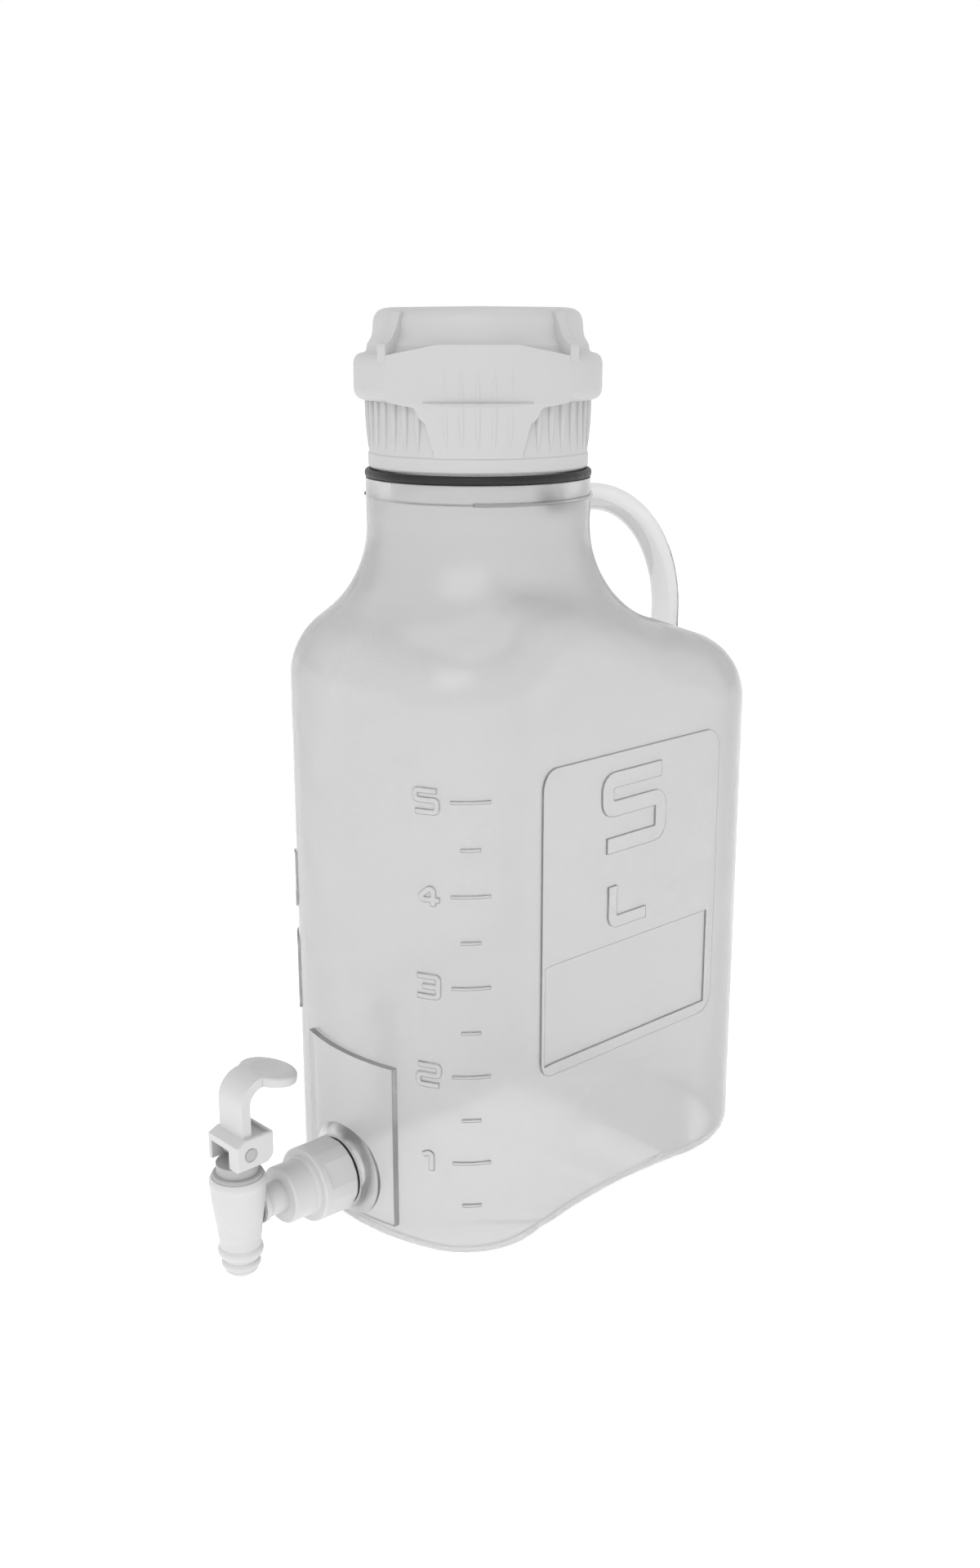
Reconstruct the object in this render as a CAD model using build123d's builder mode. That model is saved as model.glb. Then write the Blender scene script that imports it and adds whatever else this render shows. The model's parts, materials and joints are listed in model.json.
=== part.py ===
from build123d import *
from math import acos, asin, atan2, cos, degrees, radians, sin, sqrt
import os

# Five-litre clear bottle with a screw cap, a loop handle and a lever tap.
# Millimetres. +Z is up, the origin is where the neck's axis meets the surface it stands on,
# the tap faces -Y, the handle is on the +Y side and the flat side panels face +X and -X.

# ---- bottle body -----------------------------------------------------------------------
WALL = 2.0
FRONT_Y = -78.0
FRONT_R = 106.0
FRONT_SPAN = 24.0
LOBE_HALF = 66.0
SIDE_X = 63.6
WAIST_R = 44.0
REAR_R = 53.0
REAR_Y = 140.0
BASE_FILLET = 8.0
SHOULDER_FILLET = 31.0

# ---- neck ------------------------------------------------------------------------------
NECK_R = 47.7
NECK_SWEEP_R = 48.0
NECK_SWEEP_Z = 305.8
SHOULDER_SLOPE = 19.5
CROWN_RUN = 110.0
LEDGE_Z = 325.3
RING_SEAT_R = 44.0
FINISH_R = 40.0
FINISH_TOP = 368.0
MOUTH_R = 37.6

# ---- grip hollow low on each side ------------------------------------------------------
GRIP_R = 290.0
GRIP_DEPTH = 3.8
GRIP_Y = 34.0
GRIP_STRAIGHT_Z = 37.0
GRIP_BEND_R = 90.0
GRIP_BEND = 32.0
GRIP_SOFT_R = 12.0

# ---- raised marks ----------------------------------------------------------------------
RAISE = 0.9
LITRE_ZERO_Z = 6.4
LITRE_STEP = 39.64
LITRES = 5

# ---- screw thread of the cap -----------------------------------------------------------
PITCH = 6.0
THREAD_DEPTH = 1.5
THREAD_ROOT = 2.4
THREAD_CREST = 1.2
NECK_THREAD_Z = 350.0
NECK_THREAD_TURNS = 1.5
CAP_THREAD_TURNS = 1.25
CAP_THREAD_DROP = 2.2

# ---- cap -------------------------------------------------------------------------------
CAP_HEADING = 47.3
CAP_BOTTOM = 329.6
CAP_TOP = 394.4
SKIRT_R = 46.0
BAND_R = 46.4
BAND_TOP = 335.4
FLANGE_R = 51.8
FLANGE_BOTTOM = 357.2
DOME_R = 43.6
CAP_BORE_R = 42.0
DOME_BORE_R = 40.6
GRIP_FACE_R = 62.0
GRIP_FACE_OUT = 48.6
GRIP_FACE_HALF = 36.5
GRIP_FACE_TOP = 379.6
FACE_BEND_Z = FLANGE_BOTTOM - 0.4
RIBS = 46
RIB_HALF = 1.4
RIB_LOW = 336.6
RIB_WIDE_Z = 354.6
RIB_HIGH = 372.6
FIN_HALF = 2.6
FIN_TURN = 48.0

# ---- tap -------------------------------------------------------------------------------
TAP_Z = 29.7
TAP_Y = -136.7
PAD_HALF = 28.6
PAD_LOW = 11.0
PAD_HIGH = 85.0
PAD_RAISE = 2.4
BOSS_R = 21.5
OUTLET_R = 13.5
OUTLET_BORE_R = 8.0
OUTLET_END = 97.4
SHANK_FLANGE = OUTLET_END + 1.6
SHANK_FACE = 101.4
NUT_BACK = 85.8
NUT_RIM = 100.0
NUT_STEP = 103.4
NUT_FRONT = 116.2
NUT_R = 16.4
NUT_FLAT = 15.4
NOSE_R = 12.5
TUBE_R = 6.9
SHANK_END = -TAP_Y - 8.7
SPIGOT_R = 7.8
FLOW_R = 4.6
STEM_R = 2.5
STEM_GAP = 0.06
PIN_Z = 60.4
PIN_R = 2.4
PIN_HEAD_R = 3.2
PIN_HEAD_T = 2.4
SEAT_Z = 22.0
SPOUT_END = 3.4
SPOUT_BORE_R = 5.2
BONNET_TOP = 49.3
LAND_TOP = 53.9
FORK_BOTTOM = 54.2
FORK_TOP = 67.4
FORK_HALF = 10.6
SLOT_LEFT = 8.0
SLOT_RIGHT = 4.4
EYE_HALF = 4.1
EYE_R = 4.0

# ---- handle ----------------------------------------------------------------------------
HANDLE_HALF_X = 7.0
HANDLE_HALF_T = 6.2
HANDLE_ROOT_Z = 312.0
HANDLE_BEND_Y = 66.0
HANDLE_BEND_R = 57.0
HANDLE_FOOT_Z = 238.0

FRONT_CY = FRONT_Y + FRONT_R
SPAN_SIN = sin(radians(FRONT_SPAN))
SPAN_COS = cos(radians(FRONT_SPAN))
LOBE_R = (LOBE_HALF - FRONT_R * SPAN_SIN) / (1 - SPAN_SIN)
LOBE_CX = (FRONT_R - LOBE_R) * SPAN_SIN
LOBE_CY = FRONT_CY - (FRONT_R - LOBE_R) * SPAN_COS
TURN = degrees(acos(1 - (LOBE_HALF - SIDE_X) / (LOBE_R + WAIST_R)))
WAIST_CX = LOBE_CX + (LOBE_R + WAIST_R) * cos(radians(TURN))
WAIST_CY = LOBE_CY + (LOBE_R + WAIST_R) * sin(radians(TURN))

os.makedirs("parts", exist_ok=True)


def body_outline(inset):
    """Plan of the body: a round front lobe, flat sides and a rounder rear."""
    with BuildSketch() as plan:
        with BuildLine():
            CenterArc((0, FRONT_CY), FRONT_R - inset, -90, FRONT_SPAN)
            CenterArc((LOBE_CX, LOBE_CY), LOBE_R - inset, FRONT_SPAN - 90, 90 - FRONT_SPAN + TURN)
            waist = CenterArc((WAIST_CX, WAIST_CY), WAIST_R + inset, 180 + TURN, -TURN)
            rear = CenterArc((SIDE_X - REAR_R, REAR_Y - REAR_R), REAR_R - inset, 0, 90)
            Line(waist @ 1, rear @ 0)
            Line(rear @ 1, (0, REAR_Y - inset))
            mirror(about=Plane.YZ)
        make_face()
    return plan.sketch


def crown_profile(inset, top):
    """Half section of the neck, its sweep and the sloping shoulder, to turn about Z."""
    fall = Vector(cos(radians(SHOULDER_SLOPE)), -sin(radians(SHOULDER_SLOPE)))
    with BuildSketch() as half:
        with BuildLine():
            centre = (NECK_R + NECK_SWEEP_R, NECK_SWEEP_Z)
            bend = CenterArc(centre, NECK_SWEEP_R + inset, 180, 90 - SHOULDER_SLOPE)
            far = (bend @ 1) + fall * CROWN_RUN
            Polyline(bend @ 1, far, (far.X, 0), (0, 0), (0, top), (NECK_R - inset, top), bend @ 0)
        make_face()
    return half.sketch


def grip_hollow(inset):
    """Broad shallow barrel that dents the +X side near the base."""
    axis_x = SIDE_X - GRIP_DEPTH + GRIP_R
    near = axis_x - GRIP_R - inset
    bend_r = GRIP_BEND_R + inset
    with BuildPart() as barrel:
        with BuildSketch(Plane.XZ.offset(-GRIP_Y)):
            with BuildLine():
                bend = CenterArc((near + bend_r, GRIP_STRAIGHT_Z), bend_r, 180, -GRIP_BEND)
                low = -20
                corners = [(axis_x, (bend @ 1).Y), (axis_x, low), (near, low), bend @ 0]
                Polyline(bend @ 1, *corners)
            make_face()
        revolve(axis=Axis((axis_x, GRIP_Y, 0), (0, 0, 1)))
    return barrel.part


def body_solid(inset, floor, top):
    """Solid body with its shoulder, grip hollows and rounded edges, inset from the outside."""
    hollow = grip_hollow(inset)
    side = SIDE_X - inset
    with BuildPart() as blank:
        with BuildSketch(Plane.XY.offset(floor)):
            add(body_outline(inset))
        extrude(amount=top - floor)
        with BuildSketch(Plane.XZ):
            add(crown_profile(inset, top))
        revolve(axis=Axis.Z, mode=Mode.INTERSECT)
        upright = blank.faces().filter_by(lambda f: abs(f.normal_at().Z) < 1e-6)
        walls = upright.filter_by(lambda f: f.bounding_box().max.Z < NECK_SWEEP_Z)
        rim = walls.edges().filter_by(lambda e: e.center().Z > 200 and abs((e % 0.5).Z) < 0.9)
        fillet(rim, SHOULDER_FILLET - inset)
        add(hollow, mode=Mode.SUBTRACT)
        add(mirror(hollow, about=Plane.YZ), mode=Mode.SUBTRACT)
        on_side = blank.edges().filter_by(lambda e: abs(abs(e.center().X) - side) < 0.01)
        low_edges = on_side.filter_by(lambda e: floor + 1 < e.center().Z < 90)
        fillet(low_edges.filter_by(lambda e: e.length < 150), GRIP_SOFT_R)
        fillet(blank.edges().group_by(Axis.Z)[0], BASE_FILLET - inset)
    return blank.part


def skin(inner, outer, low, high):
    """Thin upright band that follows the body wall, between two offsets of its outline."""
    with BuildPart() as band:
        with BuildSketch(Plane.XY.offset(low)):
            add(body_outline(-outer))
            add(body_outline(-inner), mode=Mode.SUBTRACT)
        extrude(amount=high - low)
    return band.part


GLYPHS = {
    "1": [[(0.2, 0.78), (0.6, 1), (0.6, 0)]],
    "2": [[(0, 1), (1, 1), (1, 0.5), (0, 0.5), (0, 0), (1, 0)]],
    "3": [[(0, 1), (1, 1), (1, 0), (0, 0)], [(0.25, 0.5), (1, 0.5)]],
    "4": [[(0.8, 0), (0.8, 1), (0, 0.3), (1.1, 0.3)]],
    "5": [[(1, 1), (0, 1), (0, 0.56), (1, 0.56), (1, 0), (0, 0)]],
    "L": [[(0, 1), (0, 0), (1, 0)]],
}


def glyph(character, width, height, stroke):
    """A plain squared numeral drawn with a constant stroke, lower left corner at the origin."""
    with BuildSketch() as shape:
        for run in GLYPHS[character]:
            inner_w = width - stroke
            inner_h = height - stroke
            with BuildLine():
                points = [(stroke / 2 + x * inner_w, stroke / 2 + y * inner_h) for x, y in run]
                if len(points) > 2:
                    FilletPolyline(*points, radius=stroke * 0.55)
                else:
                    Polyline(*points)
            trace(line_width=stroke)
    return shape.sketch


# ---- bottle shell ----------------------------------------------------------------------
outer_body = body_solid(0, 0, LEDGE_Z)
inner_body = body_solid(WALL, WALL, LEDGE_Z - 8)
side_plane = Plane(origin=(SIDE_X - 6, 0, 0), x_dir=(0, 1, 0), z_dir=(1, 0, 0))
gauge_normal = (sin(radians(45)), -cos(radians(45)), 0)
gauge_across = (cos(radians(45)), sin(radians(45)), 0)
gauge_plane = Plane(origin=(0, 0, 0), x_dir=gauge_across, z_dir=gauge_normal)
mirror_normal = (-sin(radians(45)), -cos(radians(45)), 0)
mirror_across = (cos(radians(45)), -sin(radians(45)), 0)
title_plane = Plane(origin=(0, 0, 0), x_dir=mirror_across, z_dir=mirror_normal)
thin_skin = skin(-WALL / 2, RAISE, 20, 222)
thick_skin = skin(RAISE / 2, 2 * RAISE, 60, 222)

PANEL_LOW = 75.5
PANEL_HIGH = 212.5
PANEL_BACK = -25.0
PANEL_FRONT = 88.8
LABEL_LOW = 81.0
LABEL_HIGH = 126.3
LABEL_BACK = -22.4
LABEL_FRONT = 83.4

with BuildPart() as side_frame:
    with BuildSketch(side_plane):
        middle_y = (PANEL_BACK + PANEL_FRONT) / 2
        middle_z = (PANEL_LOW + PANEL_HIGH) / 2
        with Locations((middle_y, middle_z)):
            RectangleRounded(PANEL_FRONT - PANEL_BACK, PANEL_HIGH - PANEL_LOW, 9)
        with Locations(((LABEL_BACK + LABEL_FRONT) / 2, (LABEL_LOW + LABEL_HIGH) / 2)):
            Rectangle(LABEL_FRONT - LABEL_BACK, LABEL_HIGH - LABEL_LOW, mode=Mode.SUBTRACT)
    extrude(amount=12)
    add(thin_skin, mode=Mode.INTERSECT)

with BuildPart() as side_figures:
    with BuildSketch(side_plane):
        with Locations((11.0, 168.5)):
            add(glyph("5", 41, 36, 7))
        with Locations((16.0, 134.0)):
            add(glyph("L", 27, 22, 5.4))
    extrude(amount=12)
    add(thick_skin, mode=Mode.INTERSECT)

with BuildPart() as gauge_marks:
    with BuildSketch(gauge_plane):
        for litre in range(1, LITRES + 1):
            level = LITRE_ZERO_Z + litre * LITRE_STEP
            with Locations((0, level)):
                Rectangle(16, 1.2)
            with Locations((0, level - LITRE_STEP / 2)):
                Rectangle(8, 1.2)
            with Locations((-23.5, level - 5.5)):
                add(glyph(str(litre), 11, 11, 2.2))
    extrude(amount=120)
    add(thin_skin, mode=Mode.INTERSECT)

with BuildPart() as title_marks:
    with BuildSketch(title_plane):
        with Locations(Location((14, 84), 90)):
            add(glyph("5", 38, 25, 6))
        with Locations(Location((14, 134), 90)):
            add(glyph("L", 30, 25, 6))
    extrude(amount=120)
    add(thin_skin, mode=Mode.INTERSECT)

with BuildPart() as tap_pad:
    with BuildSketch(Plane.XY.offset(PAD_LOW)):
        add(body_outline(-PAD_RAISE))
        add(body_outline(WALL / 2), mode=Mode.SUBTRACT)
        with Locations((0, FRONT_Y)):
            Rectangle(2 * PAD_HALF, 30, mode=Mode.INTERSECT)
    extrude(amount=PAD_HIGH - PAD_LOW)

tap_axis = Axis((0, 0, TAP_Z), (0, 1, 0))
tap_half = Plane(origin=(0, 0, TAP_Z), x_dir=(0, -1, 0), z_dir=(-1, 0, 0))
pad_front = -FRONT_Y + PAD_RAISE

with BuildPart() as outlet:
    with BuildSketch(tap_half):
        with BuildLine():
            flare = ThreePointArc((pad_front - 0.9, BOSS_R), (82.0, 18.2), (84.4, 16.4))
            Polyline(flare @ 1, (84.4, OUTLET_R), (OUTLET_END, OUTLET_R), (OUTLET_END, 0), (77, 0))
            Polyline((77, 0), (77, BOSS_R), flare @ 0)
        make_face()
    revolve(axis=tap_axis)

with BuildPart() as neck_finish:
    with BuildSketch(Plane.XZ):
        with BuildLine():
            Polyline(
                (NECK_R - WALL, LEDGE_Z - 12),
                (NECK_R - 0.2, LEDGE_Z - 12),
                (NECK_R - 0.2, LEDGE_Z),
                (RING_SEAT_R, LEDGE_Z),
                (RING_SEAT_R, LEDGE_Z + 4.0),
                (FINISH_R, LEDGE_Z + 6.0),
                (FINISH_R, FINISH_TOP),
                (MOUTH_R, FINISH_TOP),
                (MOUTH_R, LEDGE_Z + 1.5),
                (NECK_R - WALL, LEDGE_Z - 8),
                close=True,
            )
        make_face()
    revolve(axis=Axis.Z)
    fillet(neck_finish.edges().group_by(Axis.Z)[-1], 0.7)

with BuildPart() as neck_thread:
    height = PITCH * NECK_THREAD_TURNS
    with BuildLine():
        Helix(PITCH, height, FINISH_R, center=(0, 0, NECK_THREAD_Z))
    with BuildSketch(Plane(origin=(FINISH_R, 0, NECK_THREAD_Z), x_dir=(1, 0, 0), z_dir=(0, 1, 0))):
        root = THREAD_ROOT / 2
        crest = THREAD_CREST / 2
        Polygon((-0.6, -root), (-0.6, root), (THREAD_DEPTH, crest), (THREAD_DEPTH, -crest), align=None)
    sweep(is_frenet=True)

with BuildPart() as fill_line:
    with BuildSketch(Plane.XZ):
        with Locations((NECK_R, 317.8)):
            Rectangle(1.8, 1.3)
    revolve(axis=Axis.Z)
    with BuildSketch(Plane.XY.offset(316)):
        with BuildLine():
            right = CenterArc((0, 0), 60, -45, 110)
            Polyline(right @ 1, (0, 0), right @ 0)
        make_face()
        mirror(about=Plane.YZ)
    extrude(amount=4, mode=Mode.INTERSECT)

with BuildPart() as bottle_shell:
    add(outer_body)
    add(tap_pad.part)
    add(outlet.part)
    add(side_frame.part)
    add(mirror(side_frame.part, about=Plane.YZ))
    add(side_figures.part)
    add(gauge_marks.part)
    add(title_marks.part)
    add(fill_line.part)
    add(inner_body, mode=Mode.SUBTRACT)
    with BuildSketch(Plane.XY.offset(LEDGE_Z - 9)):
        Circle(MOUTH_R)
    extrude(amount=20, mode=Mode.SUBTRACT)
    add(neck_finish.part)
    add(neck_thread.part)
    with Locations(Plane(origin=(0, -OUTLET_END, TAP_Z), z_dir=(0, -1, 0))):
        Hole(OUTLET_BORE_R, depth=OUTLET_END + FRONT_Y + 8)
bottle_shell.part.label = "bottle_shell"
export_step(bottle_shell.part, "parts/bottle_shell.step")

# ---- carry handle ----------------------------------------------------------------------
with BuildPart() as carry_handle:
    with BuildLine(Plane.YZ):
        Line((NECK_R - 4, HANDLE_ROOT_Z), (HANDLE_BEND_Y, HANDLE_ROOT_Z))
        bend_z = HANDLE_ROOT_Z - HANDLE_BEND_R
        bend = CenterArc((HANDLE_BEND_Y, bend_z), HANDLE_BEND_R, 90, -90)
        Line(bend @ 1, (HANDLE_BEND_Y + HANDLE_BEND_R, HANDLE_FOOT_Z))
    with BuildSketch(Plane(origin=(0, NECK_R - 4, HANDLE_ROOT_Z), x_dir=(1, 0, 0), z_dir=(0, 1, 0))):
        Ellipse(HANDLE_HALF_X, HANDLE_HALF_T)
    sweep()
    add(outer_body, mode=Mode.SUBTRACT)
    add(fill_line.part, mode=Mode.SUBTRACT)
carry_handle.part.label = "carry_handle"
export_step(carry_handle.part, "parts/carry_handle.step")

# ---- dark ring between the neck ledge and the cap --------------------------------------
with BuildPart() as neck_ring:
    with BuildSketch(Plane.XZ):
        with Locations(((RING_SEAT_R + 48.0) / 2 + 0.02, LEDGE_Z + 1.85)):
            RectangleRounded(48.0 - RING_SEAT_R - 0.04, 3.7, 1.6)
    revolve(axis=Axis.Z)
neck_ring.part.label = "neck_ring"
export_step(neck_ring.part, "parts/neck_ring.step")

# ---- cap -------------------------------------------------------------------------------
# Two broad grip faces stand front and back, CAP_HEADING round from the tap. A plain flange joins
# them at the sides, and a fin stands on it beside each corner of the grip faces.
face_back = GRIP_FACE_OUT - GRIP_FACE_R
corner_out = face_back + sqrt(GRIP_FACE_R**2 - GRIP_FACE_HALF**2)
face_turn = degrees(atan2(GRIP_FACE_HALF, corner_out - face_back))
taper_turn = degrees(asin(GRIP_FACE_HALF / SKIRT_R))


def grip_plan(radius, centre, turn):
    """Plan of one grip face, which looks along +X."""
    inner = 0.5 * CAP_BORE_R
    with BuildSketch() as plan:
        with BuildLine():
            face = CenterArc((centre, 0), radius, -turn, 2 * turn)
            Polyline(face @ 1, (inner, GRIP_FACE_HALF), (inner, -GRIP_FACE_HALF), face @ 0)
        make_face()
    return plan.sketch


with BuildPart() as grip_face:
    with BuildSketch(Plane.XY.offset(FACE_BEND_Z)):
        add(grip_plan(GRIP_FACE_R, face_back, face_turn))
    extrude(amount=GRIP_FACE_TOP - FACE_BEND_Z)
    with BuildSketch(Plane.XY.offset(FACE_BEND_Z)):
        add(grip_plan(GRIP_FACE_R, face_back, face_turn))
    with BuildSketch(Plane.XY.offset(BAND_TOP)):
        add(grip_plan(SKIRT_R + 0.15, 0, taper_turn))
    loft()
    with BuildSketch(Plane.YZ.offset(CAP_BORE_R - 14)):
        with BuildLine():
            top = Polyline((0, GRIP_FACE_TOP), (16, GRIP_FACE_TOP), (GRIP_FACE_HALF, 375.4))
            Polyline(top @ 1, (GRIP_FACE_HALF, FLANGE_BOTTOM), (26.2, 355.6))
            tongue = Bezier((26.2, 355.6), (23.8, 354.6), (25.0, 351.6), (21.0, 349.4))
            Polyline(tongue @ 1, (17.4, BAND_TOP + 0.4), (0, BAND_TOP + 0.4))
            mirror(about=Plane.YZ)
        make_face()
    extrude(amount=40, mode=Mode.INTERSECT)

with BuildPart() as cap_rib:
    with BuildSketch(Plane.XZ):
        with BuildLine():
            swell = ThreePointArc((0, RIB_LOW), (RIB_HALF, RIB_WIDE_Z), (0, RIB_HIGH))
            Line(swell @ 1, swell @ 0)
        make_face()
    revolve(axis=Axis.Z)

with BuildPart() as cap_fin:
    with BuildSketch(Plane.XZ):
        with BuildLine():
            hollow = Bezier((43.6, 392.0), (45.6, 386.0), (47.6, 380.6), (51.4, 379.6))
            Polyline(hollow @ 1, (51.7, 378.4), (51.5, 372.0), (40.0, 372.0), (40.0, 392.0), hollow @ 0)
        make_face()
    extrude(amount=FIN_HALF, both=True)

with BuildPart() as flange_web:
    with BuildSketch(Plane.XZ):
        with BuildLine():
            Polyline((CAP_BORE_R + 1, 350.4), (46.8, 350.4))
            web_top = FLANGE_BOTTOM + 0.2
            Bezier((46.8, 350.4), (47.2, 353.4), (48.0, 356.0), (50.2, web_top))
            Polyline((50.2, web_top), (CAP_BORE_R + 1, web_top), (CAP_BORE_R + 1, 350.4))
        make_face()
    revolve(axis=Axis.Z)
    with BuildSketch(Plane.XY.offset(350)):
        Rectangle(44, 120)
    extrude(amount=10, mode=Mode.INTERSECT)

with BuildPart() as cap_blank:
    with BuildSketch(Plane.XZ):
        with BuildLine():
            Polyline((0, CAP_BOTTOM), (BAND_R - 0.6, CAP_BOTTOM), (BAND_R, CAP_BOTTOM + 0.8))
            Polyline((BAND_R, CAP_BOTTOM + 0.8), (BAND_R, BAND_TOP), (SKIRT_R, BAND_TOP + 0.5))
            Polyline((SKIRT_R, BAND_TOP + 0.5), (SKIRT_R, FLANGE_BOTTOM), (48.4, FLANGE_BOTTOM))
            lip_end = (FLANGE_R, 362.4)
            lip_low = FLANGE_BOTTOM + 0.6
            low_lip = Bezier((48.4, FLANGE_BOTTOM), (50.6, lip_low), (FLANGE_R, 359.2), lip_end)
            Line(low_lip @ 1, (FLANGE_R, 371.0))
            top_lip = Bezier((FLANGE_R, 371.0), (FLANGE_R, 374.2), (50.2, 375.6), (48.2, 375.9))
            step = Bezier(top_lip @ 1, (46.6, 376.1), (46.2, 376.8), (46.1, 378.4))
            toe = Bezier(step @ 1, (46.0, 380.6), (44.0, 380.6), (DOME_R, 385.0))
            shoulder = Bezier(toe @ 1, (DOME_R - 0.1, 391.6), (41.8, 393.7), (35.5, 393.9))
            Polyline(shoulder @ 1, (0, CAP_TOP), (0, CAP_BOTTOM))
        make_face()
    revolve(axis=Axis.Z)
    for side in (-90, 90):
        ahead = radians(CAP_HEADING + side)
        with BuildSketch(Plane.XY.offset(CAP_BOTTOM)):
            with Locations((face_back * cos(ahead), face_back * sin(ahead))):
                Circle(GRIP_FACE_R)
        extrude(amount=CAP_TOP - CAP_BOTTOM, mode=Mode.INTERSECT)

with BuildPart() as cap_thread:
    low = NECK_THREAD_Z - CAP_THREAD_DROP
    with BuildLine():
        Helix(PITCH, PITCH * CAP_THREAD_TURNS, CAP_BORE_R, center=(0, 0, low))
    with BuildSketch(Plane(origin=(CAP_BORE_R, 0, low), x_dir=(1, 0, 0), z_dir=(0, 1, 0))):
        Polygon((0.6, -root), (0.6, root), (-THREAD_DEPTH, crest), (-THREAD_DEPTH, -crest), align=None)
    sweep(is_frenet=True)

with BuildPart() as cap_shell:
    add(cap_blank.part)
    for side in (0, 180):
        front = CAP_HEADING - 90 + side
        with Locations(Location((0, 0, 0), (0, 0, front))):
            add(grip_face.part)
        for turn in (-FIN_TURN, FIN_TURN):
            with Locations(Location((0, 0, 0), (0, 0, front + turn))):
                add(cap_fin.part)
    with Locations(Location((0, 0, 0), (0, 0, CAP_HEADING))):
        add(flange_web.part)
    for count in range(RIBS):
        turn = count * 360 / RIBS
        off_face = radians(min(turn % 180, 180 - turn % 180))
        ahead = Location((0, 0, 0), (0, 0, CAP_HEADING - 90 + turn))
        if off_face < radians(18):
            face_out = face_back * cos(off_face) + sqrt(GRIP_FACE_R**2 - (face_back * sin(off_face)) ** 2)
            face_lean = degrees(atan2(face_out - SKIRT_R - 0.25, RIB_HIGH - RIB_LOW))
            foot = Location((SKIRT_R + 0.15, 0, RIB_LOW), (0, face_lean, 0))
            with Locations(ahead * foot * Location((0, 0, -RIB_LOW))):
                add(cap_rib.part)
        else:
            with Locations(ahead * Location((SKIRT_R, 0, 0))):
                add(cap_rib.part)
    with BuildSketch(Plane.XZ):
        with BuildLine():
            Polyline(
                (0, CAP_BOTTOM - 1),
                (44.6, CAP_BOTTOM - 1),
                (44.6, CAP_BOTTOM + 2.6),
                (CAP_BORE_R, CAP_BOTTOM + 5.2),
                (CAP_BORE_R, 369.0),
                (DOME_BORE_R, 372.0),
                (DOME_BORE_R, 388.5),
                (37.0, 391.6),
                (0, 391.6),
                close=True,
            )
        make_face()
    revolve(axis=Axis.Z, mode=Mode.SUBTRACT)
    add(cap_thread.part)
cap_shell.part.label = "cap_shell"
export_step(cap_shell.part, "parts/cap_shell.step")

# ---- sealing disc and gasket carried inside the cap ------------------------------------
DISC_R = 40.2
DISC_LOW = 369.9
DISC_TOP = 373.4
with BuildPart() as cap_disc:
    with BuildSketch(Plane.XZ):
        with BuildLine():
            Polyline((0, 371.0), (36.0, 371.0), (36.0, DISC_LOW), (DISC_R, DISC_LOW))
            Polyline((DISC_R, DISC_LOW), (DISC_R, DISC_TOP), (0, DISC_TOP), (0, 371.0))
        make_face()
    revolve(axis=Axis.Z)
    with BuildSketch(Plane.XY.offset(DISC_TOP - 0.4)):
        Circle(7)
        with PolarLocations(18, 6):
            Rectangle(24, 1.6)
    extrude(amount=13)
cap_disc.part.label = "cap_disc"
export_step(cap_disc.part, "parts/cap_disc.step")

with BuildPart() as cap_gasket:
    with BuildSketch(Plane.XZ):
        with Locations(((MOUTH_R + 40.0) / 2, FINISH_TOP + 0.95)):
            Rectangle(40.0 - MOUTH_R + 0.8, 1.9)
    revolve(axis=Axis.Z)
cap_gasket.part.label = "cap_gasket"
export_step(cap_gasket.part, "parts/cap_gasket.step")

# ---- tap: everything that joins it to the bottle's outlet ------------------------------
with BuildPart() as outlet_washer:
    with BuildSketch(tap_half):
        with Locations((OUTLET_END + 0.8, (OUTLET_BORE_R + 0.4 + OUTLET_R - 0.4) / 2)):
            Rectangle(1.6, OUTLET_R - OUTLET_BORE_R - 0.8)
    revolve(axis=tap_axis)
outlet_washer.part.label = "outlet_washer"
export_step(outlet_washer.part, "parts/outlet_washer.step")

with BuildPart() as nut_seal:
    with BuildSketch(tap_half):
        with Locations((NUT_BACK - 0.7, OUTLET_R + 0.95)):
            Rectangle(1.3, 1.7)
    revolve(axis=tap_axis)
nut_seal.part.label = "nut_seal"
export_step(nut_seal.part, "parts/nut_seal.step")

with BuildPart() as nut_flats:
    with BuildSketch(tap_half):
        with BuildLine():
            Polyline((NUT_BACK, 0), (NUT_BACK, NUT_R - 0.8), (NUT_BACK + 0.8, NUT_R), (NUT_RIM, NUT_R))
            Polyline((NUT_RIM, NUT_R), (NUT_RIM, 0), (NUT_BACK, 0))
        make_face()
    revolve(axis=tap_axis)
    with BuildSketch(Plane(origin=(0, -NUT_BACK, TAP_Z), x_dir=(1, 0, 0), z_dir=(0, -1, 0))):
        RegularPolygon(NUT_FLAT, 6, major_radius=False, rotation=0)
    extrude(amount=NUT_RIM - NUT_BACK, mode=Mode.INTERSECT)

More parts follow.
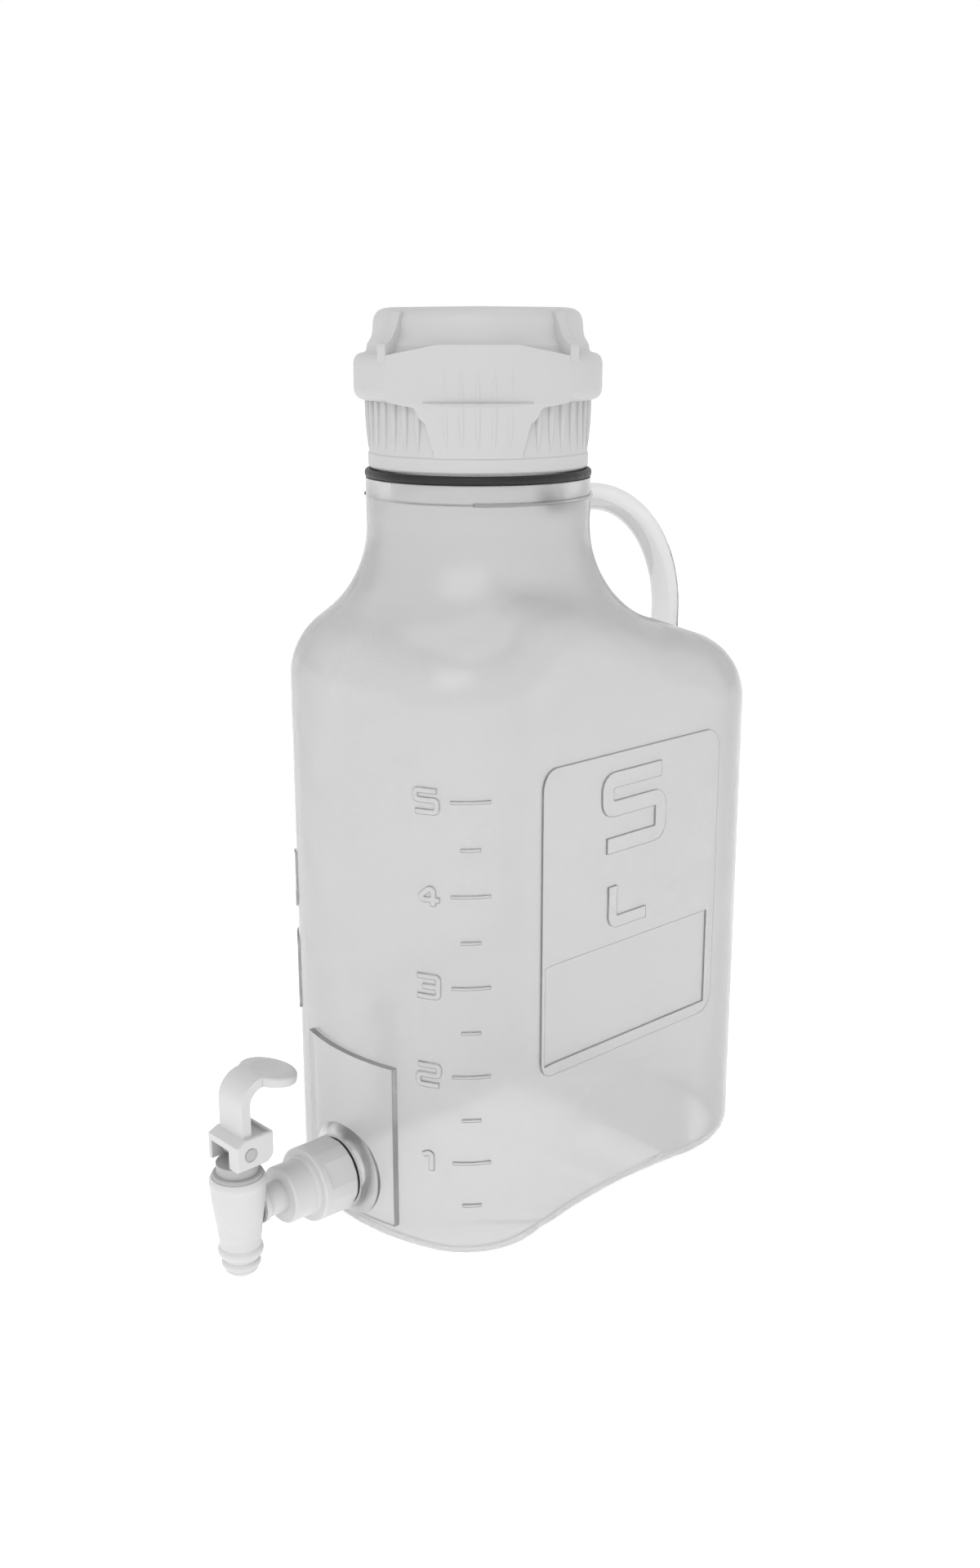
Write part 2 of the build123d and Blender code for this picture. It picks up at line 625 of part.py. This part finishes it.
with BuildPart() as union_nut:
    with BuildSketch(tap_half):
        with BuildLine():
            Polyline((NUT_RIM, 0), (NUT_RIM, NUT_R), (NUT_STEP - 0.9, NUT_R))
            lip_mid = (NUT_STEP - 0.25, NUT_R - 0.35)
            lip = ThreePointArc((NUT_STEP - 0.9, NUT_R), lip_mid, (NUT_STEP, NUT_R - 1.2))
            Polyline(lip @ 1, (NUT_STEP, NOSE_R + 0.9), (NUT_STEP + 1.3, NOSE_R + 0.4))
            Line((NUT_STEP + 1.3, NOSE_R + 0.4), (NUT_STEP + 1.6, NOSE_R))
            Polyline((NUT_STEP + 1.6, NOSE_R), (NUT_FRONT - 0.8, NOSE_R), (NUT_FRONT, NOSE_R - 0.8))
            Polyline((NUT_FRONT, NOSE_R - 0.8), (NUT_FRONT, 0), (NUT_RIM, 0))
        make_face()
    revolve(axis=tap_axis)
    add(nut_flats.part)
    with BuildSketch(tap_half):
        with BuildLine():
            Polyline(
                (NUT_BACK - 1, 0),
                (NUT_BACK - 1, OUTLET_R + 0.05),
                (SHANK_FACE, OUTLET_R + 0.05),
                (SHANK_FACE, TUBE_R + 0.05),
                (NUT_FRONT + 1, TUBE_R + 0.05),
                (NUT_FRONT + 1, 0),
                close=True,
            )
        make_face()
    revolve(axis=tap_axis, mode=Mode.SUBTRACT)
union_nut.part.label = "union_nut"
export_step(union_nut.part, "parts/union_nut.step")

with BuildPart() as tap_shank:
    with BuildSketch(tap_half):
        with BuildLine():
            Polyline(
                (91.0, FLOW_R),
                (91.0, 7.4),
                (92.0, SPIGOT_R),
                (93.2, SPIGOT_R),
                (93.2, 6.4),
                (95.4, 6.4),
                (95.4, SPIGOT_R),
                (SHANK_FLANGE, SPIGOT_R),
                (SHANK_FLANGE, OUTLET_R - 0.1),
                (SHANK_FACE, OUTLET_R - 0.1),
                (SHANK_FACE, TUBE_R),
                (SHANK_END, TUBE_R),
                (SHANK_END, FLOW_R),
                close=True,
            )
        make_face()
    revolve(axis=tap_axis)
tap_shank.part.label = "tap_shank"
export_step(tap_shank.part, "parts/tap_shank.step")

with BuildPart() as shank_o_ring:
    with BuildSketch(tap_half):
        with Locations((94.3, 7.2)):
            Circle(0.78)
    revolve(axis=tap_axis)
shank_o_ring.part.label = "shank_o_ring"
export_step(shank_o_ring.part, "parts/shank_o_ring.step")

# ---- tap body --------------------------------------------------------------------------
stem_axis = Axis((0, TAP_Y, 0), (0, 0, 1))
stem_half = Plane(origin=(0, TAP_Y, 0), x_dir=(1, 0, 0), z_dir=(0, -1, 0))
CHAMBER_R = 7.6

with BuildPart() as tap_body:
    with BuildSketch(stem_half):
        with BuildLine():
            Polyline((SPOUT_BORE_R, SPOUT_END), (5.9, SPOUT_END))
            tip = ThreePointArc((5.9, SPOUT_END), (6.9, 4.1), (7.1, 5.4))
            bead_low = ThreePointArc(tip @ 1, (8.3, 7.5), (7.5, 9.4))
            neck_low = Line(bead_low @ 1, (7.7, 10.4))
            bead_high = ThreePointArc(neck_low @ 1, (9.6, 13.2), (8.8, 15.6))
            Polyline(bead_high @ 1, (8.8, 19.4), (9.2, 20.3), (9.7, 26.0))
            swell = ThreePointArc((9.7, 26.0), (11.05, 35.0), (11.75, 43.5))
            rim = ThreePointArc(swell @ 1, (11.7, 46.6), (11.1, 47.7))
            Polyline(rim @ 1, (10.75, 47.7), (10.75, 42.0), (CHAMBER_R, 42.0), (CHAMBER_R, SEAT_Z))
            Polyline((CHAMBER_R, SEAT_Z), (4.2, SEAT_Z), (4.2, 17.5), (SPOUT_BORE_R, 15.5))
            Line((SPOUT_BORE_R, 15.5), (SPOUT_BORE_R, SPOUT_END))
        make_face()
    revolve(axis=stem_axis)
    with BuildSketch(tap_half):
        with BuildLine():
            tube = TUBE_R + 0.08
            from_body = -TAP_Y - 9.0
            collar_mid = (from_body - 3.2, 7.3)
            collar = ThreePointArc((from_body - 2.2, 7.9), collar_mid, (from_body - 4.4, tube))
            Polyline(collar @ 1, (from_body, tube), (from_body, 7.9), collar @ 0)
        make_face()
    revolve(axis=tap_axis)
    with BuildSketch(Plane(origin=(0, -NUT_FRONT, TAP_Z), x_dir=(1, 0, 0), z_dir=(0, -1, 0))):
        Circle(TUBE_R + 0.02)
    extrude(amount=-TAP_Y - 5.0 - NUT_FRONT, mode=Mode.SUBTRACT)
tap_body.part.label = "tap_body"
export_step(tap_body.part, "parts/tap_body.step")

with BuildPart() as tap_bonnet:
    with BuildSketch(stem_half):
        with BuildLine():
            Polyline(
                (STEM_R + STEM_GAP, 38.0),
                (5.4, 38.0),
                (5.4, 37.0),
                (7.5, 37.0),
                (7.5, 38.6),
                (6.5, 38.6),
                (6.5, 40.4),
                (7.5, 40.4),
                (7.5, 42.0),
                (10.7, 42.0),
                (10.7, BONNET_TOP - 0.7),
                (10.2, BONNET_TOP),
                (8.8, BONNET_TOP),
                (8.8, LAND_TOP),
                (STEM_R + STEM_GAP, LAND_TOP),
                close=True,
            )
        make_face()
    revolve(axis=stem_axis)
tap_bonnet.part.label = "tap_bonnet"
export_step(tap_bonnet.part, "parts/tap_bonnet.step")

with BuildPart() as bonnet_o_ring:
    with BuildSketch(stem_half):
        with Locations((7.05, 39.5)):
            Circle(0.52)
    revolve(axis=stem_axis)
bonnet_o_ring.part.label = "bonnet_o_ring"
export_step(bonnet_o_ring.part, "parts/bonnet_o_ring.step")

# ---- valve: cup, washer, spring and stem -----------------------------------------------
CUP_TOP = 27.4
with BuildPart() as seat_cup:
    with BuildSketch(stem_half):
        with BuildLine():
            Polyline((0, SEAT_Z), (5.6, SEAT_Z), (6.2, SEAT_Z + 1.0), (6.2, 25.2), (5.4, CUP_TOP))
            Polyline((5.4, CUP_TOP), (STEM_R, CUP_TOP), (STEM_R, 25.0), (3.3, 25.0))
            Polyline((3.3, 25.0), (3.3, 23.6), (0, 23.6))
            Line((0, 23.6), (0, SEAT_Z))
        make_face()
    revolve(axis=stem_axis)
seat_cup.part.label = "seat_cup"
export_step(seat_cup.part, "parts/seat_cup.step")

with BuildPart() as valve_stem:
    with BuildSketch(stem_half):
        with BuildLine():
            Polyline(
                (0, 23.6),
                (3.3, 23.6),
                (3.3, 25.0),
                (STEM_R, 25.0),
                (STEM_R, PIN_Z),
                (0, PIN_Z),
                close=True,
            )
        make_face()
    revolve(axis=stem_axis)
    with BuildSketch(Plane.YZ.offset(-EYE_HALF)):
        with Locations((TAP_Y, PIN_Z)):
            Circle(EYE_R)
    extrude(amount=2 * EYE_HALF)
    with BuildSketch(Plane.YZ.offset(-EYE_HALF)):
        with Locations((TAP_Y, PIN_Z)):
            Circle(PIN_R + STEM_GAP)
    extrude(amount=2 * EYE_HALF, mode=Mode.SUBTRACT)
valve_stem.part.label = "valve_stem"
export_step(valve_stem.part, "parts/valve_stem.step")

with BuildPart() as spring_washer:
    with BuildSketch(stem_half):
        with Locations((4.0, CUP_TOP + 0.35)):
            Rectangle(2.6, 0.7)
    revolve(axis=stem_axis)
spring_washer.part.label = "spring_washer"
export_step(spring_washer.part, "parts/spring_washer.step")

SPRING_LOW = CUP_TOP + 0.7
SPRING_HIGH = 38.0
SPRING_TURNS = 5.0
WIRE_R = 0.4
with BuildPart() as closing_spring:
    coil_r = 4.1
    start = SPRING_LOW + WIRE_R
    rise = SPRING_HIGH - WIRE_R - start
    with BuildLine():
        Helix(rise / SPRING_TURNS, rise, coil_r, center=(0, TAP_Y, start))
    with BuildSketch(Plane(origin=(coil_r, TAP_Y, start), x_dir=(1, 0, 0), z_dir=(0, 1, 0))):
        Circle(WIRE_R)
    sweep(is_frenet=True)
closing_spring.part.label = "closing_spring"
export_step(closing_spring.part, "parts/closing_spring.step")

# ---- lever -----------------------------------------------------------------------------
FORK_FRONT_Y = TAP_Y - 6.7
FORK_BACK_Y = TAP_Y + 11.4
FORK_FRONT_TOP = 65.3
SLOT_BACK_Y = TAP_Y + 8.6
SLOT_TOP = PIN_Z + EYE_R + 0.3
SLOT_LIP_Y = TAP_Y - 4.4
SLOT_LIP_Z = 62.4
POCKET_FLOOR = SLOT_TOP + 1.0
POCKET_HALF = 9.0
HEEL_R = 4.8
STRAP_W = 16.6
STRAP_T = 4.2
STRAP_BEND_R = 9.0
STRAP_BEND_Z = 80.3
PADDLE_TILT = 8.0
PADDLE_LENGTH = 22.4
PADDLE_WIDTH = 27.8
PADDLE_AHEAD = 6.9
PADDLE_REAR = 1.7
PADDLE_REACH = 2.2
DISH_R = 42.0

with BuildPart() as lever_blank:
    with BuildSketch(Plane.YZ.offset(-FORK_HALF)):
        with BuildLine():
            half_t = STRAP_T / 2
            front = Polyline((FORK_FRONT_Y, FORK_BOTTOM), (FORK_FRONT_Y, FORK_FRONT_TOP))
            top = Polyline(front @ 1, (TAP_Y - half_t, FORK_TOP), (FORK_BACK_Y, FORK_TOP))
            Line(top @ 1, (FORK_BACK_Y, FORK_BOTTOM + HEEL_R))
            heel = CenterArc((FORK_BACK_Y - HEEL_R, FORK_BOTTOM + HEEL_R), HEEL_R, 0, -90)
            Line(heel @ 1, (FORK_FRONT_Y, FORK_BOTTOM))
        make_face()
    extrude(amount=2 * FORK_HALF)
    fillet(lever_blank.faces().filter_by(Axis.X).edges(), 0.7)
    with BuildSketch(Plane.YZ.offset(-STRAP_W / 2)):
        with BuildLine():
            bend_y = TAP_Y + STRAP_BEND_R
            sweep_angle = -(90 + PADDLE_TILT)
            outer = CenterArc((bend_y, STRAP_BEND_Z), STRAP_BEND_R + half_t, 180, sweep_angle)
            inner = CenterArc((bend_y, STRAP_BEND_Z), STRAP_BEND_R - half_t, 180, sweep_angle)
            foot_z = FORK_TOP - 1.5
            Polyline(outer @ 0, (TAP_Y - half_t, foot_z), (TAP_Y + half_t, foot_z), inner @ 0)
            Line(outer @ 1, inner @ 1)
        make_face()
    extrude(amount=STRAP_W)
    tilt = radians(PADDLE_TILT)
    paddle_normal = (0, sin(tilt), cos(tilt))
    paddle_along = (0, cos(tilt), -sin(tilt))
    bend_end_y = bend_y + STRAP_BEND_R * sin(tilt)
    bend_end_z = STRAP_BEND_Z + STRAP_BEND_R * cos(tilt)
    under = -STRAP_T / 2
    paddle_origin = (0, bend_end_y + under * sin(tilt), bend_end_z + under * cos(tilt))
    paddle_plane = Plane(origin=paddle_origin, x_dir=paddle_along, z_dir=paddle_normal)
    with BuildSketch(paddle_plane):
        with Locations(((PADDLE_REACH - PADDLE_REAR) / 2, 0)):
            Rectangle(PADDLE_REACH + PADDLE_REAR, STRAP_W)
    extrude(amount=STRAP_T)

with BuildPart() as paddle:
    with BuildSketch(paddle_plane):
        with Locations((PADDLE_AHEAD, 0)):
            Ellipse(PADDLE_LENGTH / 2, PADDLE_WIDTH / 2)
    extrude(amount=STRAP_T)
    fillet(paddle.faces().sort_by(Axis.Z)[-1].edges(), 1.3)
    fillet(paddle.faces().sort_by(Axis.Z)[0].edges(), 0.8)
    with BuildSketch(paddle_plane):
        with Locations((PADDLE_LENGTH - PADDLE_REAR, 0)):
            Rectangle(2 * PADDLE_LENGTH, 2 * PADDLE_WIDTH)
    extrude(amount=STRAP_T, mode=Mode.INTERSECT)

with BuildPart() as tap_lever:
    add(lever_blank.part)
    add(paddle.part)
    dish_centre = paddle_plane.from_local_coords((PADDLE_AHEAD + 1.0, 0, STRAP_T + DISH_R - 0.9))
    with Locations(dish_centre):
        Sphere(DISH_R, mode=Mode.SUBTRACT)
    with BuildSketch(Plane.YZ.offset(-SLOT_LEFT)):
        with BuildLine():
            Polyline(
                (FORK_FRONT_Y - 1, FORK_BOTTOM - 1),
                (FORK_FRONT_Y - 1, SLOT_LIP_Z),
                (SLOT_LIP_Y, SLOT_LIP_Z),
                (SLOT_LIP_Y, SLOT_TOP),
                (SLOT_BACK_Y, SLOT_TOP),
                (SLOT_BACK_Y, FORK_BOTTOM - 1),
                close=True,
            )
        make_face()
    extrude(amount=SLOT_LEFT + SLOT_RIGHT, mode=Mode.SUBTRACT)
    with BuildSketch(Plane.XY.offset(POCKET_FLOOR)):
        pocket_back = FORK_BACK_Y - 1.3
        pocket_front = TAP_Y + half_t
        with Locations((0, (pocket_back + pocket_front) / 2)):
            Rectangle(2 * POCKET_HALF, pocket_back - pocket_front)
    extrude(amount=FORK_TOP - POCKET_FLOOR + 0.1, mode=Mode.SUBTRACT)
    with BuildSketch(Plane.YZ.offset(-FORK_HALF)):
        with Locations((TAP_Y, PIN_Z)):
            Circle(PIN_R)
    extrude(amount=2 * FORK_HALF, mode=Mode.SUBTRACT)
    for face_x in (-FORK_HALF, FORK_HALF - PIN_HEAD_T):
        with BuildSketch(Plane.YZ.offset(face_x)):
            with Locations((TAP_Y, PIN_Z)):
                Circle(PIN_HEAD_R)
        extrude(amount=PIN_HEAD_T, mode=Mode.SUBTRACT)
tap_lever.part.label = "tap_lever"
export_step(tap_lever.part, "parts/tap_lever.step")

with BuildPart() as lever_pin:
    with BuildSketch(Plane.YZ.offset(-FORK_HALF)):
        with Locations((TAP_Y, PIN_Z)):
            Circle(PIN_R)
    extrude(amount=2 * FORK_HALF)
    for face_x in (0.3 - FORK_HALF, FORK_HALF - PIN_HEAD_T):
        with BuildSketch(Plane.YZ.offset(face_x)):
            with Locations((TAP_Y, PIN_Z)):
                Circle(PIN_HEAD_R)
        extrude(amount=PIN_HEAD_T - 0.3)
lever_pin.part.label = "lever_pin"
export_step(lever_pin.part, "parts/lever_pin.step")
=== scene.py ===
import bpy
import json
import math
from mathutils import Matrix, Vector

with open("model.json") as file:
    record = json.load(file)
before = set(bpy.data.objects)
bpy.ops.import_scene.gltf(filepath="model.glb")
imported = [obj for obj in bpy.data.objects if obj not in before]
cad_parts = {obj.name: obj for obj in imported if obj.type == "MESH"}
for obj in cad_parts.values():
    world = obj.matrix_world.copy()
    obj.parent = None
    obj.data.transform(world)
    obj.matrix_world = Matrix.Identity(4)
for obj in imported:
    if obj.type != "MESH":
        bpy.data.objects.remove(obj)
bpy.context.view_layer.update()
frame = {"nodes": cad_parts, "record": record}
nodes = frame["nodes"]

# ---- camera: a three-quarter view from the tap's side, slightly from above ----------------
CAMERA_AT = Vector((0.5206, -0.4808, 0.3883))
HEADING = math.radians(46.87)
PITCH_DOWN = math.radians(15.67)
LENS = 37.86
SENSOR_WIDTH = 36.0
NEAR_CLIP = 0.01
FAR_CLIP = 20.0


def make_camera():
    data = bpy.data.cameras.new("view")
    data.sensor_width = SENSOR_WIDTH
    data.lens = LENS
    data.clip_start = NEAR_CLIP
    data.clip_end = FAR_CLIP
    camera = bpy.data.objects.new("view", data)
    bpy.context.scene.collection.objects.link(camera)
    camera.location = CAMERA_AT
    camera.rotation_euler = (math.pi / 2 - PITCH_DOWN, 0.0, HEADING)
    bpy.context.scene.camera = camera


# ---- shader building blocks ---------------------------------------------------------------
# Noise values gather around the middle, so this band of them is spread over the full range.
NOISE_LOW = 0.3
NOISE_HIGH = 0.7


def new_material(name):
    material = bpy.data.materials.new(name)
    material.use_nodes = True
    tree = material.node_tree
    return material, tree, tree.nodes["Principled BSDF"]


def noise(tree, scale, detail=3.0, roughness=0.5, stretch=None):
    place = tree.nodes.new("ShaderNodeTexCoord")
    texture = tree.nodes.new("ShaderNodeTexNoise")
    texture.inputs["Scale"].default_value = scale
    texture.inputs["Detail"].default_value = detail
    texture.inputs["Roughness"].default_value = roughness
    if stretch is None:
        tree.links.new(place.outputs["Object"], texture.inputs["Vector"])
    else:
        mapping = tree.nodes.new("ShaderNodeMapping")
        mapping.inputs["Scale"].default_value = stretch
        tree.links.new(place.outputs["Object"], mapping.inputs["Vector"])
        tree.links.new(mapping.outputs["Vector"], texture.inputs["Vector"])
    return texture.outputs["Fac"]


def remap(tree, value, from_low, from_high, to_low=0.0, to_high=1.0):
    span = tree.nodes.new("ShaderNodeMapRange")
    span.inputs["From Min"].default_value = from_low
    span.inputs["From Max"].default_value = from_high
    span.inputs["To Min"].default_value = to_low
    span.inputs["To Max"].default_value = to_high
    tree.links.new(value, span.inputs["Value"])
    return span.outputs["Result"]


def around(tree, value, middle, reach):
    """Spreads a noise value over middle - reach to middle + reach."""
    return remap(tree, value, NOISE_LOW, NOISE_HIGH, middle - reach, middle + reach)


def ramp_between(tree, value, low, high, low_color, high_color):
    ramp = tree.nodes.new("ShaderNodeValToRGB")
    ramp.color_ramp.elements[0].position = low
    ramp.color_ramp.elements[0].color = (*low_color, 1)
    ramp.color_ramp.elements[1].position = high
    ramp.color_ramp.elements[1].color = (*high_color, 1)
    tree.links.new(value, ramp.inputs["Fac"])
    return ramp.outputs["Color"]


def tint(tree, value, dark, light):
    return ramp_between(tree, value, NOISE_LOW, NOISE_HIGH, dark, light)


def scaled(shade, factor):
    return tuple(channel * factor for channel in shade)


def bump(tree, height, strength, distance):
    node = tree.nodes.new("ShaderNodeBump")
    node.inputs["Strength"].default_value = strength
    node.inputs["Distance"].default_value = distance
    tree.links.new(height, node.inputs["Height"])
    return node.outputs["Normal"]


# ---- moulded white plastic ----------------------------------------------------------------
MOULDED_IOR = 1.49
MOTTLE_SCALE = 35.0
MOTTLE_DARK = 0.975
GLOSS_SCALE = 180.0
GLOSS_REACH = 0.05
GRAIN_STRENGTH = 0.35


def moulded_plastic(name, shade, rough, grain, grain_depth):
    material, tree, shader = new_material(name)
    color = tint(tree, noise(tree, MOTTLE_SCALE, 2.0), scaled(shade, MOTTLE_DARK), shade)
    gloss = around(tree, noise(tree, GLOSS_SCALE, 4.0), rough, GLOSS_REACH)
    surface = bump(tree, noise(tree, grain, 4.0, 0.6), GRAIN_STRENGTH, grain_depth)
    tree.links.new(color, shader.inputs["Base Color"])
    tree.links.new(gloss, shader.inputs["Roughness"])
    tree.links.new(surface, shader.inputs["Normal"])
    shader.inputs["IOR"].default_value = MOULDED_IOR
    return material


# ---- clear plastic, with painted shade where it turns away and painted dark lines along its moulded edges ---
CLEAR_IOR = 1.4
RIM_START = 0.42
# painted shade: colour of clear walls at their silhouettes
RIM_PAINTED_SHADE = 0.62
# painted edge lines: reach and strength of the edge mask
EDGE_REACH = 0.0008
EDGE_SAMPLES = 6
EDGE_NONE = 0.995
EDGE_FULL = 0.9
HAZE_SCALE = 14.0
HAZE_DARK = 0.98
FROST_SCALE = 60.0
FROST_REACH = 0.03
RIPPLE_SCALE = 22.0
RIPPLE_STRETCH = (1.0, 1.0, 0.35)
RIPPLE_STRENGTH = 0.25
RIPPLE_DEPTH = 0.0006


def painted_edge_shade_mask(tree):
    """One along moulded edges and corners, zero on open faces; it marks where painted dark lines
    stand in for refraction and reflection at the edges.
    """
    rounded = tree.nodes.new("ShaderNodeBevel")
    rounded.samples = EDGE_SAMPLES
    rounded.inputs["Radius"].default_value = EDGE_REACH
    face = tree.nodes.new("ShaderNodeNewGeometry")
    agreement = tree.nodes.new("ShaderNodeVectorMath")
    agreement.operation = "DOT_PRODUCT"
    tree.links.new(rounded.outputs["Normal"], agreement.inputs[0])
    tree.links.new(face.outputs["Normal"], agreement.inputs[1])
    return remap(tree, agreement.outputs["Value"], EDGE_NONE, EDGE_FULL)


def painted_rim_shade_mask(tree):
    """Rises towards one where a wall turns away from the viewer; it marks where painted shade
    darkens the silhouettes.
    """
    weight = tree.nodes.new("ShaderNodeLayerWeight")
    return remap(tree, weight.outputs["Facing"], RIM_START, 1.0)


def shade_by(tree, mask, plain, marked):
    mix = tree.nodes.new("ShaderNodeMix")
    mix.data_type = "RGBA"
    tree.links.new(mask, mix.inputs["Factor"])
    tree.links.new(plain, mix.inputs["A"])
    mix.inputs["B"].default_value = (*marked, 1)
    return mix.outputs["Result"]


def clear_plastic(name, shade, rough, clearness, painted_edge_shade):
    material, tree, shader = new_material(name)
    color = tint(tree, noise(tree, HAZE_SCALE, 2.0), scaled(shade, HAZE_DARK), shade)
    # painted shade: the wall colour darkens where it turns away from the viewer
    color = shade_by(tree, painted_rim_shade_mask(tree), color, scaled(shade, RIM_PAINTED_SHADE))
    # painted dark lines along the moulded edges stand in for refraction and reflection there
    color = shade_by(tree, painted_edge_shade_mask(tree), color, painted_edge_shade)
    frost = around(tree, noise(tree, FROST_SCALE, 3.0), rough, FROST_REACH)
    ripple = noise(tree, RIPPLE_SCALE, 1.0, 0.4, RIPPLE_STRETCH)
    tree.links.new(color, shader.inputs["Base Color"])
    tree.links.new(frost, shader.inputs["Roughness"])
    tree.links.new(bump(tree, ripple, RIPPLE_STRENGTH, RIPPLE_DEPTH), shader.inputs["Normal"])
    shader.inputs["Transmission Weight"].default_value = clearness
    shader.inputs["IOR"].default_value = CLEAR_IOR
    return material


# ---- rubber, and the spring's wire --------------------------------------------------------
RUBBER_LIGHT = 1.25
RUBBER_SPECULAR = 0.3
RUBBER_GLOSS_REACH = 0.06


def rubber(name, shade, rough):
    material, tree, shader = new_material(name)
    color = tint(tree, noise(tree, 90.0, 3.0), shade, scaled(shade, RUBBER_LIGHT))
    gloss = around(tree, noise(tree, 240.0, 3.0), rough, RUBBER_GLOSS_REACH)
    tree.links.new(color, shader.inputs["Base Color"])
    tree.links.new(gloss, shader.inputs["Roughness"])
    tree.links.new(bump(tree, noise(tree, 1400.0, 3.0), 0.3, 0.00005), shader.inputs["Normal"])
    shader.inputs["Specular IOR Level"].default_value = RUBBER_SPECULAR
    return material


def spring_wire(name):
    material, tree, shader = new_material(name)
    drawn = noise(tree, 600.0, 3.0)
    color = tint(tree, drawn, (0.5, 0.5, 0.5), (0.62, 0.62, 0.63))
    tree.links.new(color, shader.inputs["Base Color"])
    tree.links.new(around(tree, drawn, 0.28, 0.06), shader.inputs["Roughness"])
    shader.inputs["Metallic"].default_value = 1.0
    return material


# ---- one material for each slot of the record ---------------------------------------------
def grey(value):
    return (value, value, value)


def make_materials():
    return {
        # the last grey of each clear material is its painted edge shade
        "clear_bottle": clear_plastic("clear_bottle", grey(0.77), 0.2, 0.82, grey(0.36)),
        "clear_handle": clear_plastic("clear_handle", grey(0.62), 0.06, 0.92, grey(0.4)),
        "dark_rubber": rubber("dark_rubber", (0.014, 0.014, 0.015), 0.45),
        "white_cap": moulded_plastic("white_cap", grey(0.5), 0.5, 900.0, 0.00005),
        "white_insert": moulded_plastic("white_insert", (0.76, 0.76, 0.75), 0.5, 900.0, 0.00005),
        "soft_seal": rubber("soft_seal", (0.6, 0.6, 0.58), 0.4),
        "white_tap": moulded_plastic("white_tap", grey(0.59), 0.42, 1500.0, 0.00006),
        # painted shade: the white bonnet is given a darker grey for the shadow under the fork
        "white_bonnet": moulded_plastic("white_bonnet", grey(0.4), 0.45, 1500.0, 0.00005),
        # painted shade: the white stem is given a dark grey for the shadowed channel it sits in
        "white_stem": moulded_plastic("white_stem", grey(0.32), 0.45, 1500.0, 0.00005),
        "white_pin": moulded_plastic("white_pin", grey(0.42), 0.4, 1500.0, 0.00004),
        "spring_steel": spring_wire("spring_steel"),
    }


def dress_cad_nodes(materials):
    for part in frame["record"]["subparts"]:
        mesh = nodes[part["node"]].data
        mesh.materials.clear()
        mesh.materials.append(materials[part["material_slot"]])


# ---- floor and light ----------------------------------------------------------------------
FLOOR_HALF = 6.0
FLOOR_DARK = grey(0.9)
FLOOR_LIGHT = grey(0.92)
FLOOR_ROUGH = 0.9
FLOOR_GLOW = 0.6
SKY_LOW = 1.0
SKY_LOW_END = 0.45
SKY_HIGH = 0.45
SKY_HIGH_START = 0.75
LAMP_POWER = 9
LAMP_TARGET = (0, 0, 0.2)
KEY_AT = (0.9, -1.4, 1.5)
KEY_SIZE = (1.4, 1.0)
TOP_AT = (0.0, 0.2, 1.9)
TOP_SIZE = (1.6, 1.6)


def make_floor():
    mesh = bpy.data.meshes.new("floor")
    corners = [(x * FLOOR_HALF, y * FLOOR_HALF, 0) for x, y in ((-1, -1), (1, -1), (1, 1), (-1, 1))]
    mesh.from_pydata(corners, [], [(0, 1, 2, 3)])
    floor = bpy.data.objects.new("floor", mesh)
    bpy.context.scene.collection.objects.link(floor)
    material, tree, shader = new_material("floor")
    color = tint(tree, noise(tree, 2.0, 2.0), FLOOR_DARK, FLOOR_LIGHT)
    tree.links.new(color, shader.inputs["Base Color"])
    shader.inputs["Roughness"].default_value = FLOOR_ROUGH
    shader.inputs["Emission Color"].default_value = (1, 1, 1, 1)
    shader.inputs["Emission Strength"].default_value = FLOOR_GLOW
    mesh.materials.append(material)


def make_sky():
    world = bpy.data.worlds.new("studio")
    world.use_nodes = True
    tree = world.node_tree
    place = tree.nodes.new("ShaderNodeTexCoord")
    split = tree.nodes.new("ShaderNodeSeparateXYZ")
    tree.links.new(place.outputs["Generated"], split.inputs["Vector"])
    height = split.outputs["Z"]
    sky = ramp_between(tree, height, SKY_LOW_END, SKY_HIGH_START, grey(SKY_LOW), grey(SKY_HIGH))
    tree.links.new(sky, tree.nodes["Background"].inputs["Color"])
    bpy.context.scene.world = world


def area_light(name, place, size):
    data = bpy.data.lights.new(name, "AREA")
    data.shape = "RECTANGLE"
    data.size, data.size_y = size
    data.energy = LAMP_POWER
    light = bpy.data.objects.new(name, data)
    light.location = place
    direction = Vector(LAMP_TARGET) - Vector(place)
    light.rotation_euler = direction.to_track_quat("-Z", "Y").to_euler()
    bpy.context.scene.collection.objects.link(light)


make_camera()
dress_cad_nodes(make_materials())
make_floor()
make_sky()
area_light("key", KEY_AT, KEY_SIZE)
area_light("top", TOP_AT, TOP_SIZE)
bpy.context.scene.view_settings.view_transform = "Standard"
